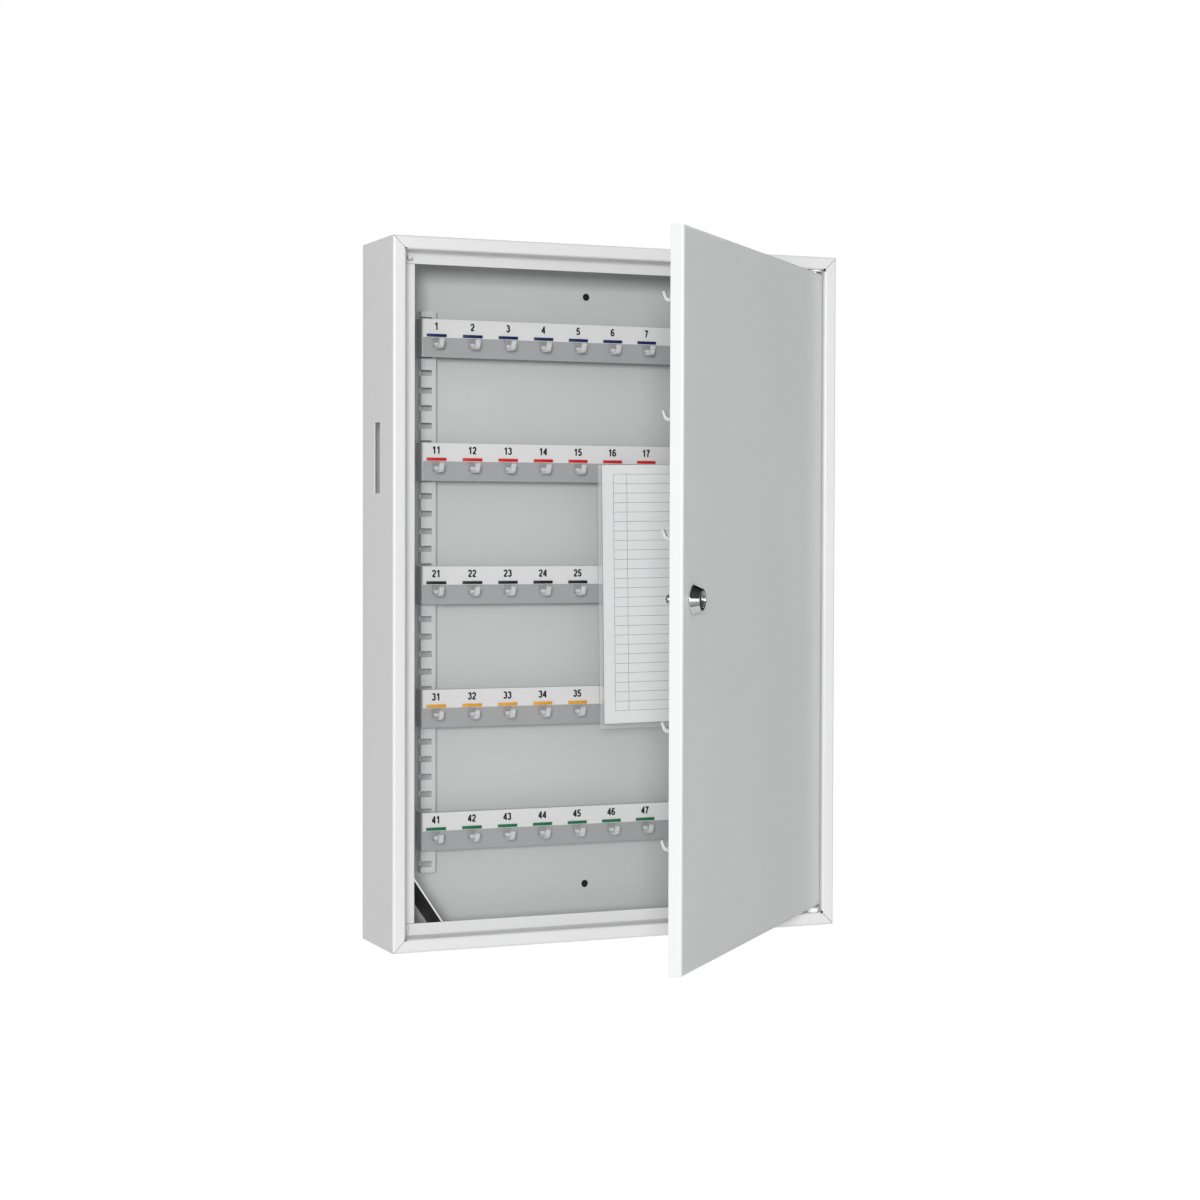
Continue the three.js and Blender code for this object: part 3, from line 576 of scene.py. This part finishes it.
SIX = [(bow(0.28, 0.315, 0.20, 0.235, 0, 360, 30), True),
       (bow(0.30, 0.49, 0.22, 0.43, 180, 45), False)]
DIGITS = {
    "0": [(bow(0.28, 0.5, 0.20, 0.42, 0, 360, 36), True)],
    "1": [([(0.34, 0.0), (0.34, 1.0)], False),
          ([(0.10, 0.74), (0.22, 0.79), (0.30, 0.87), (0.33, 0.96)], False)],
    "2": [(bow(0.27, 0.695, 0.195, 0.225, 172, -28)
           + [(0.33, 0.42), (0.18, 0.26), (0.10, 0.10)], False),
          ([(0.035, 0.0825), (0.50, 0.0825)], False)],
    "3": [(bow(0.26, 0.735, 0.175, 0.18, 160, -90), False),
          (bow(0.26, 0.315, 0.20, 0.235, 90, -162), False)],
    "4": [([(0.40, 0.0), (0.40, 1.0)], False),
          ([(0.40, 0.93), (0.07, 0.33)], False),
          ([(0.02, 0.285), (0.54, 0.285)], False)],
    "5": [([(0.50, 0.9175), (0.12, 0.9175)], False),
          ([(0.155, 0.92), (0.105, 0.50)], False),
          (bow(0.27, 0.325, 0.20, 0.245, 145, -160), False)],
    "6": SIX,
    "7": [([(0.04, 0.9175), (0.53, 0.9175)], False),
          ([(0.48, 0.90), (0.34, 0.66), (0.25, 0.36), (0.22, 0.0)], False)],
    "8": [(bow(0.28, 0.745, 0.165, 0.175, 0, 360, 30), True),
          (bow(0.28, 0.30, 0.20, 0.22, 0, 360, 30), True)],
    "9": turned(SIX),
}


def stroke_edges(points, closed):
    """Both edges of a line of constant width, mitred at its corners."""
    points = [Vector(p) for p in (points[:-1] if closed else points)]
    count = len(points)
    edges = []
    for i, point in enumerate(points):
        into = point - points[i - 1] if i or closed else points[1] - point
        out = points[(i + 1) % count] - point if i < count - 1 or closed else into
        along = (into.normalized() + out.normalized()).normalized()
        mitre = max(0.6, along.dot(out.normalized()))
        side = Vector((-along.y, along.x)) * DIGIT_STROKE / 2 / mitre
        edges.append((point + side, point - side))
    return edges


def draw_stroke(mesh, points, closed, at):
    """A line as a thin solid; `at` turns (x, z, lift) into a place."""
    rings = [[mesh.verts.new(at(edge.x, edge.y, lift)) for lift in (0, 1) for edge in pair]
             for pair in stroke_edges(points, closed)]
    last = len(rings) if closed else len(rings) - 1
    for i in range(last):
        a, b = rings[i], rings[(i + 1) % len(rings)]
        for j, k in ((0, 1), (1, 3), (3, 2), (2, 0)):
            mesh.faces.new((a[j], a[k], b[k], b[j]))
    if not closed:
        for end in (rings[0], rings[-1]):
            mesh.faces.new((end[0], end[1], end[3], end[2]))


def number_row(name, first, face, top, out, body, place):
    """The numbers printed on one label, facing out of the strip."""
    mesh = bmesh.new()
    tall = NUMBER_HEIGHT * MM
    for i, column in enumerate(columns()):
        text = str(first + i)
        middle = column if out < 0 else -column
        start = -(DIGIT_STEP * len(text) - DIGIT_GAP) / 2
        for place_in_text, digit in enumerate(text):
            def at(x, z, lift, shift=start + place_in_text * DIGIT_STEP):
                return Vector((middle - out * (x + shift) * tall,
                               face + out * (1 - 0.6 * lift) * LABEL_PROUD * MM,
                               top - NUMBER_DROP * MM + z * tall))
            for points, closed in DIGITS[digit]:
                draw_stroke(mesh, points, closed, at)
    finish_mesh(mesh, name, INK, body, place)


def build_rows():
    for i, bar in enumerate(BARS):
        row = i + 1
        low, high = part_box(f"key_strip_{row}")
        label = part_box(f"label_{row}")[0].y
        hook_row(f"hooks_{row}", f"hook_row_{row}", low.y, high.z, -1, "cabinet", AT_REST)
        plate_row(f"plates_{row}", low.y, high.z, -1, "cabinet", AT_REST)
        bar_row(f"bars_{row}", bar, low.y, high.z, -1, "cabinet", AT_REST)
        number_row(f"numbers_{row}", 1 + i * HOOKS, label, high.z, -1, "cabinet", AT_REST)
        low, high = closed_box(f"door_strip_{row}")
        label = closed_box(f"door_label_{row}")[1].y
        hook_row(f"door_hooks_{row}", f"door_hook_row_{row}", high.y, high.z, 1, "door", OPEN)
        plate_row(f"door_plates_{row}", high.y, high.z, 1, "door", OPEN)
        bar_row(f"door_bars_{row}", bar, high.y, high.z, 1, "door", OPEN)
        first = FIRST_DOOR_NUMBER + i * HOOKS
        number_row(f"door_numbers_{row}", first, label, high.z, 1, "door", OPEN)


# ------------------------------------------------------------------ index card
def card_corners():
    """Top left, top right and bottom left corners of the card's printed face."""
    verts = [v.co.copy() for v in frame["nodes"]["index_card"].data.vertices]
    face = min(v.y for v in verts)
    front = [v for v in verts if v.y < face + 1e-5]
    return (max(front, key=lambda v: v.z - v.x), max(front, key=lambda v: v.z + v.x),
            max(front, key=lambda v: -v.z - v.x))


def card_frame():
    """The card's own frame: across, depth and down from its top left corner; and its size."""
    top_left, top_right, bottom_left = card_corners()
    right = (top_right - top_left).normalized()
    down = (bottom_left - top_left).normalized()
    place = Matrix.Translation(top_left) @ Matrix(
        ((right.x, 0, down.x, 0), (0, 1, 0, 0), (right.z, 0, down.z, 0), (0, 0, 0, 1)))
    return place, (top_right - top_left).length / MM, (bottom_left - top_left).length / MM


def card_block(mesh, x, y, z):
    """A block in the card's frame, from millimetres."""
    block(mesh, [span[0] * MM for span in (x, y, z)], [span[1] * MM for span in (x, y, z)])


def build_card_rules():
    place, width, _ = card_frame()
    mesh = bmesh.new()
    half = RULE_WIDTH / 2
    depth = (-LABEL_PROUD, -0.2 * LABEL_PROUD)
    bottom = RULE_TOP + RULE_ROWS * RULE_PITCH
    for i in range(RULE_ROWS + 1):
        z = RULE_TOP + i * RULE_PITCH
        card_block(mesh, (RULE_MARGIN, width - RULE_MARGIN), depth, (z - half, z + half))
    for x in (RULE_MARGIN, RULE_MARGIN + RULE_COLUMN, width - RULE_MARGIN):
        card_block(mesh, (x - half, x + half), depth, (RULE_TOP, bottom))
    finish_mesh(mesh, "card_rules", RULE_INK, "card", place)


def build_pocket():
    """Two clear films round the card, welded along the sides and the bottom."""
    place, width, height = card_frame()
    face = card_corners()[0].y
    header = (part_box("card_pocket")[1].y - face) / MM - FILM_THICK
    rear = (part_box("index_card")[1].y - face) / MM + FILM_CLEARANCE
    left, right, bottom = -FILM_BORDER, width + FILM_BORDER, height + FILM_BORDER
    front = (-FILM_LEAD, -FILM_LEAD + FILM_THICK)
    behind_header, behind_card = (header, header + FILM_THICK), (rear, rear + FILM_THICK)
    mesh = bmesh.new()
    card_block(mesh, (left, right), front, (0, bottom))
    card_block(mesh, (0, width), behind_header, (0, FILM_HOLE_TOP))
    card_block(mesh, (0, width), behind_header, (FILM_HOLE_BOTTOM, FILM_NECK[0]))
    holes = [FIRST_HOLE + i * HOOK_PITCH for i in range(FILM_HOLES)]
    starts = [0] + [hole + FILM_HOLE_WIDTH / 2 for hole in holes]
    ends = [hole - FILM_HOLE_WIDTH / 2 for hole in holes] + [width]
    for start, end in zip(starts, ends):
        card_block(mesh, (start, end), behind_header, (FILM_HOLE_TOP, FILM_HOLE_BOTTOM))
    step = [(behind_header[0], FILM_NECK[0]), (behind_header[1], FILM_NECK[0]),
            (behind_card[1], FILM_NECK[1]), (behind_card[0], FILM_NECK[1])]
    prism(mesh, [(y * MM, z * MM) for y, z in step], "X", 0, width * MM)
    card_block(mesh, (0, width), behind_card, (FILM_NECK[1], bottom - FILM_BORDER + FILM_LAP))
    pocket = finish_mesh(mesh, "pocket_film", FILM, "card", place)
    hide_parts("card_pocket")
    mesh = bmesh.new()
    weld = tuple(front[0] - lift for lift in WELD_LIFT)
    for inset in (0, FILM_BORDER - 2 * FILM_SEAM):
        sides = (left + inset, right - inset)
        for edge, side in ((sides[0], 1), (sides[1], -1)):
            span = sorted((edge, edge + side * FILM_SEAM))
            card_block(mesh, span, weld, (0, bottom - inset))
        card_block(mesh, sides, weld, (bottom - inset - FILM_SEAM, bottom - inset))
    finish_mesh(mesh, "pocket_weld", FILM_WELD, "card", place)


# ------------------------------------------------------------------ lock
def build_rosette(centre):
    low, high = closed_box("lock_rosette")
    front, outer = high.y - low.y, (high.x - low.x) / 2
    nose, bore = NOSE_RADIUS * MM, BORE_RADIUS * MM
    mesh = bmesh.new()
    profile = [(bore, 0.0), (outer - 0.0001, 0.0), (outer, ROSETTE_RIM * MM), (nose, front),
               (bore + 0.0001, front), (bore, front - 0.001), (bore, 0.0)]
    lathe(mesh, rounded(profile, ROSETTE_EDGE * MM), (centre.x, high.y, centre.z), (0, -1, 0), 96)
    rosette = finish_mesh(mesh, "lock_rosette_turned", CHROME, "door", OPEN)
    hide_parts("lock_rosette")


def build_plug(centre):
    low, high = closed_box("lock_plug")
    mesh = bmesh.new()
    rim = arc((centre.x, centre.z), (high.x - low.x) / 2, 0, 2 * math.pi, 48)[:-1]
    prism(mesh, rim, "Y", low.y + 0.0001, high.y, PLUG_EDGE * MM)
    plug = finish_mesh(mesh, "lock_plug_turned", CHROME, "lock", OPEN)
    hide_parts("lock_plug")
    # The keyway is a near-black block, a painted shade for the slot in the plug.
    half, tall = (size * MM for size in KEYWAY_HALF)
    mesh = bmesh.new()
    block(mesh, (centre.x - half, low.y - 0.00005, centre.z - tall),
          (centre.x + half, low.y + KEYWAY_DEPTH * MM, centre.z + tall), 0.0002)
    finish_mesh(mesh, "keyway", SLOT_SHADE, "lock", OPEN)


def build_cam_screw(centre):
    low, high = closed_box("cam_screw")
    head, crown = (high.x - low.x) / 2, high.y
    seat = closed_box("lock_cam")[1].y + SCREW_SEAT * MM
    profile = [(0, seat), (head, seat), (head, seat + (crown - seat) * SCREW_RIM), (0, crown)]
    mesh = bmesh.new()
    lathe(mesh, [(r, y - seat) for r, y in rounded(profile, SCREW_EDGE * MM, 6)],
          (centre.x, seat, centre.z), (0, 1, 0), 48)
    screw = finish_mesh(mesh, "cam_screw_turned", ZINC, "lock", OPEN)
    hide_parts("cam_screw")
    # The cross recess is a near-black block, a painted shade for the hollow in the screw's head.
    floor, top = (crown - depth * MM for depth in RECESS_DEPTHS)
    mesh = bmesh.new()
    for arm in (RECESS_ARM, RECESS_ARM[::-1]):
        across, tall = (size * MM for size in arm)
        block(mesh, (centre.x - across, floor, centre.z - tall),
              (centre.x + across, top, centre.z + tall), 0.0001)
    finish_mesh(mesh, "cam_screw_recess", SLOT_SHADE, "lock", OPEN)


def build_lock():
    low, high = closed_box("lock_rosette")
    centre = (low + high) / 2
    build_rosette(centre)
    build_plug(centre)
    build_cam_screw(centre)


# ------------------------------------------------------------------ pivots and buffers
def turned_node(node, material, body, axis, edge, hole=0.0):
    """A round CAD node rebuilt smooth, with soft ends."""
    low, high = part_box(node)
    middle = (low + high) / 2
    radius = (high.x - low.x) / 2
    mesh = bmesh.new()
    if axis == "Z":
        length = high.z - low.z
        start, direction = (middle.x, middle.y, low.z), (0, 0, 1)
    else:
        length = high.y - low.y
        start, direction = (middle.x, high.y, middle.z), (0, -1, 0)
    hole *= MM
    profile = [(hole, 0), (radius, 0), (radius, length), (hole, length)]
    if hole:
        profile.append((hole, 0))
    lathe(mesh, rounded(profile, edge * MM), start, direction, 40)
    piece = finish_mesh(mesh, f"{node}_turned", material, body)
    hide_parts(node)


def build_small_parts():
    for end in ("upper", "lower"):
        turned_node(f"{end}_hinge_pin", ZINC, "door", "Z", PIN_EDGE)
        turned_node(f"{end}_buffer", BUFFER, "cabinet", "Y", BUFFER_EDGE)
        dress(f"{end}_pivot_bush", WHITE_PLASTIC)
    turned_node("lower_pivot_washer", ZINC, "door", "Z", WASHER_EDGE, WASHER_BORE)


# ------------------------------------------------------------------ light and camera
def area_light(name, place, target, size, power):
    data = bpy.data.lights.new(name, "AREA")
    data.shape = "SQUARE"
    data.size = size
    data.energy = power
    lamp = bpy.data.objects.new(name, data)
    lamp.location = place
    lamp.rotation_euler = (Vector(target) - Vector(place)).to_track_quat("-Z", "Y").to_euler()
    bpy.context.scene.collection.objects.link(lamp)


def direction_sum(nodes, links, direction, base, share):
    """base + share * (ray direction . direction), as a number."""
    ray = nodes.new("ShaderNodeTexCoord")
    dot = add(nodes, "ShaderNodeVectorMath", operation="DOT_PRODUCT")
    dot.inputs[1].default_value = Vector(direction).normalized()
    links.new(ray.outputs["Generated"], dot.inputs[0])
    scale = add(nodes, "ShaderNodeMath", operation="MULTIPLY_ADD")
    scale.inputs[1].default_value = share
    scale.inputs[2].default_value = base
    links.new(dot.outputs["Value"], scale.inputs[0])
    return scale.outputs[0]


def build_world():
    """White behind the object; a soft room brighter at the front for the light on it; and
    for reflections a bright band at eye level with a dark ceiling and a grey floor."""
    world = bpy.data.worlds.new("studio")
    world.use_nodes = True
    nodes, links = world.node_tree.nodes, world.node_tree.links
    seen = nodes["Background"]
    seen.inputs["Color"].default_value = (1, 1, 1, 1)
    seen.inputs["Strength"].default_value = 1.0
    cast = add(nodes, "ShaderNodeBackground", Color=(1, 1, 1, 1))
    links.new(direction_sum(nodes, links, AMBIENT_SIDE, AMBIENT, AMBIENT_TILT),
              cast.inputs["Strength"])
    shine = nodes.new("ShaderNodeBackground")
    height = direction_sum(nodes, links, (0, 0, 1), 0.5, 0.5)
    band = nodes.new("ShaderNodeValToRGB")
    while len(band.color_ramp.elements) < len(SHINE_BAND):
        band.color_ramp.elements.new(0.5)
    for element, (place, value) in zip(band.color_ramp.elements, SHINE_BAND):
        element.position = place
        element.color = grey(value)
    links.new(height, band.inputs["Fac"])
    links.new(band.outputs["Color"], shine.inputs["Color"])
    ahead = add(nodes, "ShaderNodeMath", operation="MAXIMUM")
    ahead.inputs[1].default_value = SHINE_LEAST
    links.new(direction_sum(nodes, links, SHINE_SIDE, SHINE_BASE, SHINE_TILT), ahead.inputs[0])
    links.new(ahead.outputs[0], shine.inputs["Strength"])
    path = nodes.new("ShaderNodeLightPath")
    reflect, mix = nodes.new("ShaderNodeMixShader"), nodes.new("ShaderNodeMixShader")
    links.new(path.outputs["Is Glossy Ray"], reflect.inputs["Fac"])
    links.new(cast.outputs[0], reflect.inputs[1])
    links.new(shine.outputs[0], reflect.inputs[2])
    links.new(path.outputs["Is Camera Ray"], mix.inputs["Fac"])
    links.new(reflect.outputs[0], mix.inputs[1])
    links.new(seen.outputs[0], mix.inputs[2])
    links.new(mix.outputs[0], nodes["World Output"].inputs["Surface"])
    bpy.context.scene.world = world


def build_floor():
    """A plain pale floor below the cabinet, small enough to stay out of the main view."""
    material, nodes, links, shader = new_material("floor_white")
    shader.inputs["Roughness"].default_value = 0.9
    links.new(ramp(nodes, links, noise(nodes, links, 3.0), grey(0.80), grey(0.83)),
              shader.inputs["Base Color"])
    mesh = bmesh.new()
    bmesh.ops.create_grid(mesh, x_segments=2, y_segments=2, size=FLOOR_REACH * MM)
    mesh.transform(Matrix.Translation((0, FLOOR_SHIFT * MM, cad_box[0].z - FLOOR_DROP * MM)))
    stage_piece(mesh, "floor", material)


def stage_piece(mesh, name, material):
    """A mesh that belongs to the studio and not to the part."""
    data = bpy.data.meshes.new(name)
    mesh.to_mesh(data)
    mesh.free()
    data.materials.append(material)
    piece = bpy.data.objects.new(name, data)
    bpy.context.scene.collection.objects.link(piece)


def build_hole_shade_discs():
    """Dark discs of painted shade against the wall, standing in for the shade behind the fixing
    holes, so that the holes read as holes.
    """
    material, nodes, links, shader = new_material("hole_painted_shade")
    shader.inputs["Roughness"].default_value = 0.9
    # Near black: the painted shade seen through each hole.
    links.new(ramp(nodes, links, noise(nodes, links, 50.0), grey(0.004), grey(0.008)),
              shader.inputs["Base Color"])
    radius, (depth, thick) = DISC_RADIUS * MM, (size * MM for size in DISC_DEPTHS)
    mesh = bmesh.new()
    for height in (-FIXING_HEIGHT * MM, FIXING_HEIGHT * MM):
        lathe(mesh, [(0, 0), (radius, 0), (radius, thick), (0, thick)], (0, depth, height),
              (0, 1, 0), 40)
    stage_piece(mesh, "hole_backs", material)


def build_camera():
    yaw, pitch, roll = (math.radians(angle) for angle in CAMERA_TURN)
    ahead = Vector((math.sin(yaw) * math.cos(pitch), math.cos(yaw) * math.cos(pitch),
                    -math.sin(pitch)))
    level = Vector((math.cos(yaw), -math.sin(yaw), 0))
    below = ahead.cross(level)
    right = level * math.cos(roll) + below * math.sin(roll)
    up = -(below * math.cos(roll) - level * math.sin(roll))
    data = bpy.data.cameras.new("camera")
    data.sensor_width = SENSOR
    data.lens = LENS
    data.shift_x, data.shift_y = SHIFT
    camera = bpy.data.objects.new("camera", data)
    camera.matrix_world = Matrix.Translation(CAMERA_PLACE) @ Matrix(
        (right, up, -ahead)).transposed().to_4x4()
    bpy.context.scene.collection.objects.link(camera)
    bpy.context.scene.camera = camera


build_camera()
dress_cad()
build_rows()
build_card_rules()
build_pocket()
build_lock()
build_small_parts()
build_world()
build_floor()
build_hole_shade_discs()
area_light("key", **KEY)
area_light("side", **SIDE)
bpy.context.scene.view_settings.view_transform = "Standard"
